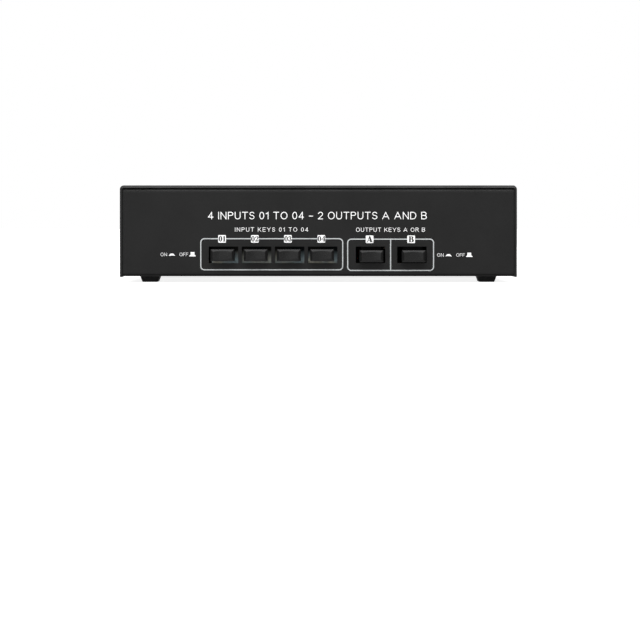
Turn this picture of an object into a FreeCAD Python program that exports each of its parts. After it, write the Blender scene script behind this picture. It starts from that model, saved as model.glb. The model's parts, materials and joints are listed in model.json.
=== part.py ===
import FreeCAD, Part
import math
import os

# Speaker selector switch: a low sheet-metal box with push keys on the front and twin binding
# posts on the rear. Millimetres. +Z is up and the feet stand at z = 0. Seen from the front, +X is
# to the right and +Y goes into the box, so the front panel faces -Y. X = 0 is the middle of the
# case; Y = 0 is midway from key faces to post ends.

V = FreeCAD.Vector
X_AXIS, Y_AXIS, Z_AXIS = V(1, 0, 0), V(0, 1, 0), V(0, 0, 1)
ZERO = V(0, 0, 0)

# ---------------------------------------------------------------- driving dimensions
# Case
case_width = 240.0
case_height = 55.0            # underside of the chassis to the top of the cover
case_depth = 150.0            # front edge to rear edge of the cover
cover_sheet = 1.5
chassis_sheet = 1.2
bend_radius = 2.4             # outside radius of every bend
panel_recess = 0.5            # the panels stand this far inside the cover's edges
panel_gap = 0.5               # top of the panels to the cover
side_gap = 0.2                # side flanges to the cover
cover_drop = 0.4              # the cover's sides reach this far below the chassis
top_flange = 8.0              # lips folded inwards at the top of the panels
side_flange = 14.0            # height of the chassis's side flanges
flange_setback = 6.0          # side flanges to the panels

# Feet
foot_height = 3.8
foot_top = 11.9
foot_bottom = 9.4
foot_inset_x = 17.0           # foot centre to the side of the case
foot_inset_y = 16.0           # foot centre to the front or rear edge
foot_rounding = 0.5

# Screws
screw_shank = 3.0
hole_clearance = 0.1          # radial, round every shank
pan_head = 5.9
pan_height = 2.2
pan_rounding = 0.9
flat_head = 5.6
recess_length = 3.2
recess_width = 0.75
recess_depth = 1.1
cover_screw_length = 6.0
cover_screw_height = 9.0      # above the underside of the chassis
cover_screw_inset = 30.0      # from the front and rear edges

# Keys
key_height = 12.8             # input key centre above the underside of the chassis
key_pitch = 20.0
first_window_x = -57.4
key_count = 4
output_pitch = 25.0            # between the output windows
output_key_pitch = 25.5
first_output_window_x = 31.5
output_names = ("a", "b")
window_lift = 0.2             # windows above the input keys
output_drop = 0.6             # output keys below the input keys
input_shift = -0.4            # first key of each kind to the middle of its window, along X
output_shift = 0.45
window_width = 17.8
window_height = 10.0
key_width = 14.4
key_face_height = 7.6
key_reach = 5.0               # key face in front of the panel, key out
key_length = 6.2
key_travel = 4.0
key_bevel_x = 1.5
key_bevel_z = 1.4
key_bevel_depth = 1.0
key_wall = 1.2
key_boss = 8.0
socket_depth = 5.0

# Plungers and their springs
plunger_width = 4.4
plunger_height = 3.4
spring_pressed = 5.0          # length with the key in
spring_wire = 0.5
spring_mean = 5.4             # mean diameter of the coils
spring_coils = 6
carriage_width = 7.6
carriage_height = 6.4
carriage_length = 12.0
slide_clearance = 0.15        # each side of a sliding piece

# Switch frame, interlock bar and switch bodies, as depths behind the front panel's face
frame_depth = 5.5
frame_sheet = 1.0
frame_flange = 7.0
bar_sheet = 0.8
bar_clearance = 0.4
bar_travel = 1.5
bar_tab = 5.0
bar_spring_length = 6.0
bar_spring_mean = 3.4
bar_spring_wire = 0.5
bar_spring_coils = 6
body_width = 12.0
body_height = 11.0
body_wall = 2.0
body_end = 6.0                # solid end behind the spring
pin_rows = 2
pins_per_row = 6
pin_size = 0.8
pin_pitch = 4.0
pin_row_pitch = 7.0
pin_tail = 3.4                # pin length below the switch body

# Switch board
board_sheet = 1.6
board_depth = 75.0
board_margin = 9.0            # board beyond the outermost switch bodies
standoff_diameter = 6.0
standoff_inset = 4.5
board_screw_length = 5.0
pad_pitch = 10.5
red_pad_setback = 20.0        # wire pads to the rear edge of the board
black_pad_setback = 8.0

# Binding posts
group_count = 6
group_pitch = 37.5
pair_pitch = 19.0             # between the two columns of a group
posts_offset_x = 1.5          # middle of the pattern to the middle of the case
row_pitch = 24.7              # between the red row and the black row
rows_lift = 2.75              # middle of the two rows above the middle of the case's height
collar_diameter = 16.6
collar_height = 3.5
collar_rim = 0.9
collar_recess = 1.0
collar_bevel = 0.4
collar_clearance = 0.2
base_width = 17.4
base_sheet = 3.0
base_end = 7.6                # inner plate beyond each post's axis
stud_diameter = 6.7
stud_reach = 18.0             # end of the stud beyond the rear panel
stud_tail = 4.0
stud_bevel = 0.35
socket_bore = 4.1
socket_mouth = 5.3            # the bore opens out to this at the stud's end
lead_in = 1.6                 # depth of that flare
socket_length = 12.5
wire_hole = 2.2
wire_hole_height = 4.1
post_cap_diameter = 14.2
post_cap_step = 0.35
post_cap_rim = 2.6
post_cap_rounding = 1.1
post_cap_gap = 0.3            # cap to the collar's floor
post_cap_clearance = 0.1      # radial, on the stud
post_cap_mouth = 7.9
mouth_depth = 1.2
stud_proud = 0.4
flute_count = 14
flute_radius = 0.8
flute_cut = 0.75
terminal_screw_length = 8.0
nut_width = 7.0
nut_height = 3.2
tail_end = 1.0
tag_sheet = 0.8
tag_diameter = 9.0
lug_width = 3.0
lug_length = 6.0

# Wires
wire_diameter = 2.0
wire_lead = 14.0              # straight run off each tag

# Modelling
overshoot = 1.0               # cutting tools run this far past what they cut
tolerance = 0.01              # two places closer than this are the same

# ---------------------------------------------------------------- places worked out from them
case_bottom = foot_height
cover_top = case_bottom + case_height
panel_top = cover_top - cover_sheet - panel_gap
floor_top = case_bottom + chassis_sheet
half_width = case_width / 2
chassis_half = half_width - cover_sheet - side_gap
front_reach = max(key_reach, panel_recess)
panel_span = case_depth - 2 * panel_recess
front_face = front_reach - (front_reach + panel_span + stud_reach) / 2
rear_face = front_face + panel_span
cover_front = front_face - panel_recess
cover_rear = rear_face + panel_recess

key_z = case_bottom + key_height
window_z = key_z + window_lift
input_windows = [first_window_x + i * key_pitch for i in range(key_count)]
output_windows = [first_output_window_x + i * output_pitch for i in range(len(output_names))]
input_keys = [x + input_shift for x in input_windows]
first_output_key_x = first_output_window_x + output_shift
output_keys = [first_output_key_x + i * output_key_pitch for i in range(len(output_names))]
output_z = key_z - output_drop
key_back = key_length - key_reach                     # depth of a cap's back face
bar_front = frame_depth + frame_sheet + bar_clearance
body_front = bar_front + bar_sheet + bar_clearance
spring_length = spring_pressed + key_travel
carriage_front = body_front + body_wall
carriage_back = carriage_front + carriage_length
body_back = carriage_back + spring_length + body_end
board_top = key_z - body_height / 2
board_bottom = board_top - board_sheet
board_front = frame_depth + frame_flange
board_left = input_keys[0] - body_width / 2 - board_margin
board_right = output_keys[-1] + body_width / 2 + board_margin

bar_left = input_keys[0] - body_width / 2
bar_right = input_keys[-1] + body_width / 2 + bar_travel
frame_left = bar_left - frame_sheet
frame_right = bar_right + bar_spring_length + frame_sheet
bar_height = body_height - 2 * bar_clearance
bar_tab_end = bar_front + bar_tab
spring_seat = (bar_front + bar_sheet + bar_tab_end) / 2

screw_row_z = case_bottom + case_height / 2 + rows_lift
red_row_z = screw_row_z + row_pitch / 2
black_row_z = screw_row_z - row_pitch / 2
column_count = 2 * group_count
post_columns = [
    posts_offset_x + (group - (group_count - 1) / 2) * group_pitch + side * pair_pitch / 2
    for group in range(group_count)
    for side in (-1, 1)
]
base_back = chassis_sheet + base_sheet                # inner face of a base, behind the rear panel
tag_back = base_back + tag_sheet
cap_seat = collar_height - collar_recess + post_cap_gap
cap_end = stud_reach - stud_proud
stud_hole = stud_tail / 2 + hole_clearance            # radius
screw_hole = screw_shank / 2 + hole_clearance         # radius
lug_offset = tag_diameter / 2


# ---------------------------------------------------------------- helpers
def box(x0, x1, y0, y1, z0, z1):
    return Part.makeBox(x1 - x0, y1 - y0, z1 - z0, V(x0, y0, z0))


def block(x, z, width, height, depth0, depth1):
    """Box about a key's axis, between two depths behind the front panel's face."""
    return box(x - width / 2, x + width / 2, front_face + depth0, front_face + depth1,
               z - height / 2, z + height / 2)


def rod(x, z, y0, y1, radius):
    """Round bar along Y."""
    return Part.makeCylinder(radius, y1 - y0, V(x, y0, z), Y_AXIS)


def rounded_bar(corners, radius, axis):
    """Box whose four edges along one axis are rounded."""
    bar = box(*corners)
    edges = [e for e in bar.Edges if abs(e.tangentAt(e.FirstParameter).dot(axis)) > 0.99]
    return bar.makeFillet(radius, edges)


def turned(points):
    """Solid of revolution about Z from (radius, height) corners."""
    corners = [V(r, 0, z) for r, z in points]
    return Part.Face(Part.makePolygon(corners + corners[:1])).revolve(ZERO, Z_AXIS, 360)


def fused(shapes):
    return shapes[0].multiFuse(shapes[1:]).removeSplitter()


def cross_recess():
    """Tool for a cross recess in a head whose top is at z = 0."""
    slot = box(-recess_length / 2, recess_length / 2, -recess_width / 2, recess_width / 2,
               -recess_depth, overshoot)
    other = slot.copy()
    other.rotate(ZERO, Z_AXIS, 90)
    return slot.fuse(other)


def pan_screw(length):
    """Pan-head screw, head underside at z = 0, shank downwards."""
    head = Part.makeCylinder(pan_head / 2, pan_height)
    rim = [e for e in head.Edges if e.Closed and e.CenterOfMass.z > pan_height / 2]
    head = head.makeFillet(pan_rounding, rim)
    tool = cross_recess()
    tool.translate(V(0, 0, pan_height))
    shank = Part.makeCylinder(screw_shank / 2, length, V(0, 0, -length))
    return head.cut(tool).fuse(shank)


def flat_cone():
    """Cone of a flat head, face at z = 0."""
    depth = (flat_head - screw_shank) / 2
    return Part.makeCone(screw_shank / 2, flat_head / 2, depth, V(0, 0, -depth))


def flat_screw(length):
    """Flat-head screw, face at z = 0, shank downwards."""
    shank = Part.makeCylinder(screw_shank / 2, length, V(0, 0, -length))
    return flat_cone().fuse(shank).cut(cross_recess())


def coil(length, mean, wire, coils):
    """Coil spring along Z from z = 0, wire and all. Each half turn is an arc that rises across."""
    radius, rise = mean / 2, (length - wire) / (2 * coils)
    arcs = []
    for i in range(2 * coils):
        side = 1 if i % 2 == 0 else -1
        low, high = V(side * radius, 0, i * rise), V(-side * radius, 0, (i + 1) * rise)
        arcs.append(Part.Arc(low, V(0, side * radius, (i + 0.5) * rise), high).toShape())
    section = Part.Wire(Part.makeCircle(wire / 2, V(radius, 0, 0), Y_AXIS))
    spring = Part.Wire(arcs).makePipeShell([section], True, False)
    spring.translate(V(0, 0, wire / 2))
    return spring


def at_rear(shape, x, z):
    """Turn a shape built along +Z to point out of the rear panel, with z = 0 on the panel's face."""
    placed = shape.copy()
    placed.rotate(ZERO, X_AXIS, -90)
    placed.translate(V(x, rear_face, z))
    return placed


def save(name, shapes):
    solids = [solid for shape in shapes for solid in shape.Solids]
    shape = solids[0] if len(solids) == 1 else Part.makeCompound(solids)
    if not shape.isValid():
        raise ValueError(name + " is not a valid shape")
    shape.exportStep(os.path.join("parts", name + ".step"))


# ---------------------------------------------------------------- case
def chassis():
    outer = (-chassis_half, chassis_half, front_face, rear_face, case_bottom, panel_top)
    inner = (-half_width, half_width, front_face + chassis_sheet, rear_face - chassis_sheet,
             floor_top, panel_top - chassis_sheet)
    body = rounded_bar(outer, bend_radius, X_AXIS)
    body = body.cut(rounded_bar(inner, bend_radius - chassis_sheet, X_AXIS))
    body = body.cut(box(-half_width, half_width, front_face + top_flange, rear_face - top_flange,
                        panel_top - 2 * bend_radius, panel_top + overshoot))
    body = fused([body, side_flanges()])
    cuts = [window(x) for x in input_windows + output_windows]
    panel_inside = rear_face - chassis_sheet
    collar_hole = collar_diameter / 2 + collar_clearance
    for x in post_columns:
        for z, radius in ((red_row_z, collar_hole), (black_row_z, collar_hole), (screw_row_z, screw_hole)):
            cuts.append(rod(x, z, panel_inside - overshoot, rear_face + overshoot, radius))
    for x, y, z, direction in cover_screw_places():
        cuts.append(Part.makeCylinder(screw_hole, 2 * cover_screw_length,
                                      V(x, y, z) + direction * cover_screw_length, direction * -1))
    return body.cut(cuts)


def side_flanges():
    """Both side flanges with the strip of floor between them."""
    y0, y1 = front_face + flange_setback, rear_face - flange_setback
    spare = 3 * bend_radius
    top = case_bottom + side_flange
    outer = (-chassis_half, chassis_half, y0, y1, case_bottom, top + spare)
    inner = (-chassis_half + chassis_sheet, chassis_half - chassis_sheet, y0 - overshoot, y1 + overshoot,
             floor_top, top + 2 * spare)
    channel = rounded_bar(outer, bend_radius, Y_AXIS)
    channel = channel.cut(rounded_bar(inner, bend_radius - chassis_sheet, Y_AXIS))
    return channel.cut(box(-half_width, half_width, y0 - overshoot, y1 + overshoot, top, top + 3 * spare))


def window(x):
    return block(x, window_z, window_width, window_height, -overshoot, chassis_sheet + overshoot)


def cover_screw_places():
    """Centre of each flat head on the cover's side, with the direction out of the case."""
    z = case_bottom + cover_screw_height
    return [
        (side * half_width, y, z, V(side, 0, 0))
        for side in (-1, 1)
        for y in (cover_front + cover_screw_inset, cover_rear - cover_screw_inset)
    ]


def at_side(shape, place):
    """Turn a shape built along +Z to point out of the case's side."""
    x, y, z, direction = place
    placed = shape.copy()
    placed.rotate(ZERO, Y_AXIS, 90 * direction.x)
    placed.translate(V(x, y, z))
    return placed


def top_cover():
    low = case_bottom - cover_drop
    spare = 3 * bend_radius
    y0, y1 = cover_front - overshoot, cover_rear + overshoot
    outer = (-half_width, half_width, cover_front, cover_rear, low - spare, cover_top)
    inner = (-half_width + cover_sheet, half_width - cover_sheet, y0, y1,
             low - 2 * spare, cover_top - cover_sheet)
    cover = rounded_bar(outer, bend_radius, Y_AXIS)
    cover = cover.cut(rounded_bar(inner, bend_radius - cover_sheet, Y_AXIS))
    cover = cover.cut(box(-case_width, case_width, y0, y1, low - 3 * spare, low))
    hole = flat_cone().fuse(Part.makeCylinder(screw_hole, 2 * cover_sheet, V(0, 0, -2 * cover_sheet)))
    return cover.cut([at_side(hole, place) for place in cover_screw_places()])


def rubber_feet():
    feet = []
    for x in (-half_width + foot_inset_x, half_width - foot_inset_x):
        for y in (cover_front + foot_inset_y, cover_rear - foot_inset_y):
            rings = [
                Part.makePolygon([V(x + sx * size / 2, y + sy * size / 2, z)
                                  for sx, sy in ((-1, -1), (1, -1), (1, 1), (-1, 1), (-1, -1))])
                for size, z in ((foot_bottom, 0), (foot_top, foot_height))
            ]
            foot = Part.makeLoft(rings, True, True)
            edges = [e for e in foot.Edges if e.BoundBox.ZMin < foot_rounding]
            feet.append(foot.makeFillet(foot_rounding, edges))
    return feet


# ---------------------------------------------------------------- keys
def key_cap(x, z):
    """Cap with a bevelled face, a plunger socket and a pocket each side of it."""
    front = -key_reach
    body = block(x, z, key_width, key_face_height, front + key_bevel_depth, key_back)
    rings = []
    for inset_x, inset_z, depth in ((key_bevel_x, key_bevel_z, front), (0, 0, front + key_bevel_depth)):
        half_x, half_z = key_width / 2 - inset_x, key_face_height / 2 - inset_z
        rings.append(Part.makePolygon([V(x + sx * half_x, front_face + depth, z + sz * half_z)
                                       for sx, sz in ((-1, -1), (1, -1), (1, 1), (-1, 1), (-1, -1))]))
    cap = body.fuse(Part.makeLoft(rings, True, True))
    pocket_width = (key_width - key_boss) / 2 - key_wall
    pocket_x = key_boss / 2 + pocket_width / 2
    pocket_front = front + key_bevel_depth + key_wall
    pocket_back = key_back + overshoot
    pocket_height = key_face_height - 2 * key_wall
    cuts = [block(x + side * pocket_x, z, pocket_width, pocket_height, pocket_front, pocket_back)
            for side in (-1, 1)]
    cuts.append(block(x, z, plunger_width, plunger_height, key_back - socket_depth, pocket_back))
    return cap.cut(cuts).removeSplitter()


def plunger(x, z):
    """Stem from the cap's socket into the switch body, with the contact carriage on it."""
    stem = block(x, z, plunger_width, plunger_height, key_back - socket_depth, carriage_back)
    carriage = block(x, z, carriage_width, carriage_height, carriage_front, carriage_back)
    return fused([stem, carriage])


def return_spring(x, z):
    spring = coil(spring_length, spring_mean, spring_wire, spring_coils)
    spring.rotate(ZERO, X_AXIS, -90)
    spring.translate(V(x, front_face + carriage_back, z))
    return spring


def stem_hole(x, z, depth0, depth1, left=0.0):
    """Hole for a plunger's stem; left is extra room on the -X side."""
    width, height = plunger_width + 2 * slide_clearance, plunger_height + 2 * slide_clearance
    return block(x - left / 2, z, width + left, height, depth0, depth1)


def pin_places(x):
    """Centres of a switch's pins, as x and depth."""
    middle = (board_front + body_back) / 2
    return [
        (x + (row - (pin_rows - 1) / 2) * pin_row_pitch, middle + (i - (pins_per_row - 1) / 2) * pin_pitch)
        for row in range(pin_rows)
        for i in range(pins_per_row)
    ]


def switch_body(x, z, front=body_front):
    """Housing with a chamber for the carriage and pins that reach through the board."""
    housing = box(x - body_width / 2, x + body_width / 2, front_face + front, front_face + body_back,
                  board_top, board_top + body_height)
    chamber = block(x, z, carriage_width + 2 * slide_clearance, carriage_height + 2 * slide_clearance,
                    carriage_front, body_back - body_end)
    housing = housing.cut([chamber, stem_hole(x, z, front - overshoot, carriage_back)])
    pins = [box(px - pin_size / 2, px + pin_size / 2, front_face + depth - pin_size / 2,
                front_face + depth + pin_size / 2, board_top - pin_tail, board_top + body_wall / 2)
            for px, depth in pin_places(x)]
    return fused([housing] + pins)


def switch_frame():
    """Channel that holds the four input switches: front plate, top and bottom flanges and an end plate."""
    z0, z1 = board_top - frame_sheet, board_top + body_height + frame_sheet
    y0, y1 = front_face + frame_depth, front_face + frame_depth + frame_flange
    outer = box(frame_left, frame_right, y0, y1, z0, z1)
    inner = box(frame_left - overshoot, frame_right - frame_sheet, y0 + frame_sheet, y1 + overshoot,
                z0 + frame_sheet, z1 - frame_sheet)
    holes = [stem_hole(x, key_z, frame_depth - overshoot, frame_depth + frame_sheet + overshoot)
             for x in input_keys]
    return outer.cut([inner] + holes)


def interlock_bar():
    """Slotted strip between the frame's plate and the switch bodies, with a spring tab at its right end."""
    strip = box(bar_left, bar_right, front_face + bar_front, front_face + bar_front + bar_sheet,
                key_z - bar_height / 2, key_z + bar_height / 2)
    tab = box(bar_right - bar_sheet, bar_right, front_face + bar_front, front_face + bar_tab_end,
              key_z - bar_height / 2, key_z + bar_height / 2)
    slots = [stem_hole(x, key_z, bar_front - overshoot, bar_front + bar_sheet + overshoot, bar_travel)
             for x in input_keys]
    return fused([strip, tab]).cut(slots)


def interlock_spring():
    spring = coil(bar_spring_length, bar_spring_mean, bar_spring_wire, bar_spring_coils)
    spring.rotate(ZERO, Y_AXIS, 90)
    spring.translate(V(bar_right, front_face + spring_seat, key_z))
    return spring


# ---------------------------------------------------------------- switch board
def standoff_places():
    front = front_face + board_front
    return [
        (x, y)
        for x in (board_left + standoff_inset, board_right - standoff_inset)
        for y in (front + standoff_inset, front + board_depth - standoff_inset)
    ]


def switch_board():
    board = box(board_left, board_right, front_face + board_front, front_face + board_front + board_depth,
                board_bottom, board_top)
    cuts = [Part.makeCylinder(screw_hole, 3 * board_sheet, V(x, y, board_bottom - board_sheet))
            for x, y in standoff_places()]
    half = pin_size / 2
    for x in input_keys + output_keys:
        for px, depth in pin_places(x):
            y = front_face + depth
            cuts.append(box(px - half, px + half, y - half, y + half,
                            board_bottom - overshoot, board_top + overshoot))
    return board.cut(cuts)


def board_standoffs():
    height = board_bottom - floor_top
    tube = Part.makeCylinder(standoff_diameter / 2, height).cut(Part.makeCylinder(screw_hole, height))
    return [tube.translated(V(x, y, floor_top)) for x, y in standoff_places()]


def board_screws():
    screw = pan_screw(board_screw_length)
    return [screw.translated(V(x, y, board_top)) for x, y in standoff_places()]


# ---------------------------------------------------------------- binding posts
def terminal_base():
    """Twin base: an inner plate and two collars that stand through the panel."""
    half_x, half_y = base_width / 2, row_pitch / 2 + base_end
    plate = box(-half_x, half_x, -half_y, half_y, -base_back, -chassis_sheet)
    radius = collar_diameter / 2
    floor = collar_height - collar_recess
    collar = turned([
        (0, -chassis_sheet), (radius, -chassis_sheet), (radius, collar_height - collar_bevel),
        (radius - collar_bevel, collar_height), (radius - collar_rim, collar_height),
        (radius - collar_rim, floor), (0, floor),
    ])
    collars = [collar.translated(V(0, side * row_pitch / 2, 0)) for side in (-1, 1)]
    back = -base_back - overshoot
    holes = [Part.makeCylinder(stud_hole, collar_height - back, V(0, side * row_pitch / 2, back))
             for side in (-1, 1)]
    holes.append(Part.makeCylinder(screw_hole, -back, V(0, 0, back)))
    return fused([plate] + collars).cut(holes)


def stud():
    """Nickel stud: barrel with a socket in its end and a cross hole for bare wire, tail for the nut."""
    floor = collar_height - collar_recess
    tail, barrel, bore, mouth = stud_tail / 2, stud_diameter / 2, socket_bore / 2, socket_mouth / 2
    tail_length = tag_back + nut_height + tail_end
    body = turned([
        (0, -tail_length), (tail, -tail_length), (tail, floor), (barrel, floor),
        (barrel, stud_reach - stud_bevel), (barrel - stud_bevel, stud_reach),
        (mouth, stud_reach), (bore, stud_reach - lead_in),
        (bore, stud_reach - socket_length), (0, stud_reach - socket_length),
    ])
    start = V(-stud_diameter, 0, wire_hole_height)
    cross = Part.makeCylinder(wire_hole / 2, 2 * stud_diameter, start, X_AXIS)
    return body.cut(cross)


def post_cap():
    """Fluted cap that turns on the stud; the flutes run from its front to a plain rear rim."""
    bore = stud_diameter / 2 + post_cap_clearance
    rim, body, mouth = post_cap_diameter / 2, post_cap_diameter / 2 - post_cap_step, post_cap_mouth / 2
    rim_end = cap_seat + post_cap_rim
    cap = turned([
        (bore, cap_seat), (rim - post_cap_step, cap_seat), (rim, cap_seat + post_cap_step), (rim, rim_end),
        (body, rim_end + post_cap_step), (body, cap_end), (mouth, cap_end), (mouth, cap_end - mouth_depth),
        (bore, cap_end - mouth_depth),
    ])
    corner = [e for e in cap.Edges
              if e.Closed and abs(e.BoundBox.ZMin - cap_end) < tolerance and e.BoundBox.XLength > body + mouth]
    cap = cap.makeFillet(post_cap_rounding, corner)
    flute_axis = body + flute_radius - flute_cut
    flute = Part.makeCylinder(flute_radius, stud_reach, V(flute_axis, 0, rim_end + 2 * post_cap_step))
    flutes = []
    for i in range(flute_count):
        tool = flute.copy()
        tool.rotate(ZERO, Z_AXIS, 360 * i / flute_count)
        flutes.append(tool)
    return cap.cut(flutes)


def nut():
    corner = nut_width / math.sqrt(3)
    turns = [math.radians(60 * i) for i in range(7)]
    ring = [V(corner * math.cos(turn), corner * math.sin(turn), -tag_back - nut_height) for turn in turns]
    prism = Part.Face(Part.makePolygon(ring)).extrude(V(0, 0, nut_height))
    return prism.cut(Part.makeCylinder(stud_hole, nut_height * 3, V(0, 0, -tag_back - 2 * nut_height)))


def solder_tag(side):
    """Ring under the nut with a lug bent away from the panel, on the given side in local Y."""
    ring = Part.makeCylinder(tag_diameter / 2, tag_sheet, V(0, 0, -tag_back))
    far = lug_offset + tag_sheet
    y0, y1 = sorted((0, side * far))
    arm = box(-lug_width / 2, lug_width / 2, y0, y1, -tag_back, -base_back)
    y0, y1 = sorted((side * lug_offset, side * far))
    lug = box(-lug_width / 2, lug_width / 2, y0, y1, -tag_back - lug_length, -base_back)
    hole = Part.makeCylinder(stud_hole, 3 * tag_sheet, V(0, 0, -tag_back - tag_sheet))
    return fused([ring, arm, lug]).cut(hole)


def terminal_screws():
    return [at_rear(pan_screw(terminal_screw_length), x, screw_row_z) for x in post_columns]


# ---------------------------------------------------------------- wires
def rounded_path(points):
    """Wire of straight runs joined by tangent arcs, each as large as its two runs allow."""
    edges, start = [], points[0]
    for before, corner, after in zip(points, points[1:], points[2:]):
        inward, outward = (before - corner), (after - corner)
        run = 0.45 * min(inward.Length, outward.Length)
        inward.normalize()
        outward.normalize()
        turn = math.pi - inward.getAngle(outward)
        radius = run / math.tan(turn / 2)
        middle = inward + outward
        middle.normalize()
        centre = corner + middle * math.hypot(run, radius)
        tangent_in, tangent_out = corner + inward * run, corner + outward * run
        edges.append(Part.LineSegment(start, tangent_in).toShape())
        edges.append(Part.Arc(tangent_in, centre - middle * radius, tangent_out).toShape())
        start = tangent_out
    edges.append(Part.LineSegment(start, points[-1]).toShape())
    return Part.Wire(edges)


def lead(index, row_z, side, setback):
    """One wire from a post's tag to its pad on the board."""
    x = post_columns[index]
    z = row_z - side * (lug_offset + tag_sheet / 2)
    y = rear_face - tag_back - lug_length
    pad_x = (board_left + board_right) / 2 + (index - (column_count - 1) / 2) * pad_pitch
    pad_y = front_face + board_front + board_depth - setback
    drop = (z - board_top) / 2
    points = [V(x, y, z), V(x, y - wire_lead, z), V(pad_x, pad_y, z - drop / 4), V(pad_x, pad_y, board_top)]
    section = Part.Wire(Part.makeCircle(wire_diameter / 2, points[0], Y_AXIS))
    return rounded_path(points).makePipeShell([section], True, False)


# ---------------------------------------------------------------- write the parts
def main():
    os.makedirs("parts", exist_ok=True)
    save("chassis", [chassis()])
    save("top_cover", [top_cover()])
    save("cover_screws", [at_side(flat_screw(cover_screw_length), place) for place in cover_screw_places()])
    save("rubber_feet", rubber_feet())

    save("input_switch_frame", [switch_frame()])
    save("interlock_bar", [interlock_bar()])
    save("interlock_spring", [interlock_spring()])
    save("input_switch_bodies", [switch_body(x, key_z) for x in input_keys])
    save("output_switch_bodies", [switch_body(x, output_z, frame_depth) for x in output_keys])
    keys = [("input", str(i + 1), x, key_z) for i, x in enumerate(input_keys)]
    keys += [("output", name, x, output_z) for name, x in zip(output_names, output_keys)]
    for kind, name, x, z in keys:
        save(f"{kind}_key_{name}", [key_cap(x, z)])
        save(f"{kind}_plunger_{name}", [plunger(x, z)])
        save(f"{kind}_spring_{name}", [return_spring(x, z)])

    save("switch_board", [switch_board()])
    save("board_standoffs", board_standoffs())
    save("board_screws", board_screws())

    rows = (("red", red_row_z, -1), ("black", black_row_z, 1))
    base, pin, cap, hex_nut = terminal_base(), stud(), post_cap(), nut()
    save("terminal_bases", [at_rear(base, x, screw_row_z) for x in post_columns])
    save("terminal_screws", terminal_screws())
    posts = [(x, z, side) for _, z, side in rows for x in post_columns]
    save("terminal_studs", [at_rear(pin, x, z) for x, z, _ in posts])
    tags = [at_rear(solder_tag(-side), x, z) for x, z, side in posts]
    save("terminal_nuts_and_tags", [at_rear(hex_nut, x, z) for x, z, _ in posts] + tags)
    for colour, z, _ in rows:
        for i, x in enumerate(post_columns):
            save(f"{colour}_post_cap_{i + 1:02d}", [at_rear(cap, x, z)])
    save("red_wires", [lead(i, red_row_z, 1, red_pad_setback) for i in range(column_count)])
    save("black_wires", [lead(i, black_row_z, -1, black_pad_setback) for i in range(column_count)])


main()
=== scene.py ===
import json
from math import atan2, cos, hypot, pi, radians, sin, sqrt, tau

import bmesh
import bpy
from mathutils import Matrix, Vector

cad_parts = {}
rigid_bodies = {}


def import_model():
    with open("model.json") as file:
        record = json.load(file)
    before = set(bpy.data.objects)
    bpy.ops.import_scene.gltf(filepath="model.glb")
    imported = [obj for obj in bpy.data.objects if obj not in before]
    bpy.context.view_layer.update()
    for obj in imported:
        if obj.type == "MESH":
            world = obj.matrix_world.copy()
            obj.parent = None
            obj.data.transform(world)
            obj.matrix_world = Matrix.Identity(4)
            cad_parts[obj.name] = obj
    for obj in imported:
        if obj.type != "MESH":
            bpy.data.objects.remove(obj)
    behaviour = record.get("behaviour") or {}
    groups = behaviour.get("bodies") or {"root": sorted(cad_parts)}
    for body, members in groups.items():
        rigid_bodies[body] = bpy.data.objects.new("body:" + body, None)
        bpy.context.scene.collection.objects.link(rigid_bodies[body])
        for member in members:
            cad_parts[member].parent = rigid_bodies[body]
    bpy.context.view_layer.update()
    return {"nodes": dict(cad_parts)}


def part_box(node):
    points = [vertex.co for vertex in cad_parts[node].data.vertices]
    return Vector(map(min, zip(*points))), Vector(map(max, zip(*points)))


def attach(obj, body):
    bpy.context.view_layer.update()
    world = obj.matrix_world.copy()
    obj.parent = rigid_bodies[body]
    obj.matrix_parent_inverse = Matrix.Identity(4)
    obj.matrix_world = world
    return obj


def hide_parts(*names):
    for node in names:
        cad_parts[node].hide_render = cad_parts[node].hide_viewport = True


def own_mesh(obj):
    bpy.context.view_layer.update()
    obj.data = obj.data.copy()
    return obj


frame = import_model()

# Looks of a speaker selector switch: a black powder-coated box with push keys on the front, fluted binding
# posts on the rear and printed white legends. The frame and the finished pieces are in metres; a piece's own
# sizes are written in millimetres and scaled by MM.

MM = 0.001

# -------------------- places read from the frame
chassis_low, chassis_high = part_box("chassis")
cover_low, cover_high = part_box("top_cover")
front_y, rear_y = chassis_low.y, chassis_high.y       # outer faces of the two panels
case_bottom = chassis_low.z
KEYS = [("input", name) for name in "1234"] + [("output", name) for name in "ab"]
COLOURS = ("red", "black")
COLUMNS = range(1, 13)
KEY_TRAVEL, BAR_TRAVEL = 4.0 * MM, 1.5 * MM
FINE_RELIEF = 0.000006      # metres, like every relief


def middle(node):
    low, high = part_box(node)
    return (low + high) / 2


column_x = [middle(f"red_post_cap_{i:02d}").x for i in COLUMNS]
group_x = [(left + right) / 2 for left, right in zip(column_x[::2], column_x[1::2])]
post_places = [Vector((x, rear_y, middle(f"{colour}_post_cap_01").z)) for colour in COLOURS for x in column_x]
base_places = [Vector((x, rear_y, middle("terminal_bases").z)) for x in column_x]


# -------------------- finishes
def nodes_of(name):
    """New material, with its node tree, its Principled shader and Object coordinates."""
    material = bpy.data.materials.new(name)
    material.use_nodes = True
    tree = material.node_tree
    shader = tree.nodes["Principled BSDF"]
    place = tree.nodes.new("ShaderNodeTexCoord")
    return material, tree, shader, place.outputs["Object"]


def preset(node, values):
    """Set a node's inputs by name."""
    for name, value in values.items():
        node.inputs[name].default_value = value


def paint(tree, shader, colour, roughness):
    """Link a colour and a roughness to a shader."""
    tree.links.new(colour, shader.inputs["Base Color"])
    tree.links.new(roughness, shader.inputs["Roughness"])


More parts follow.
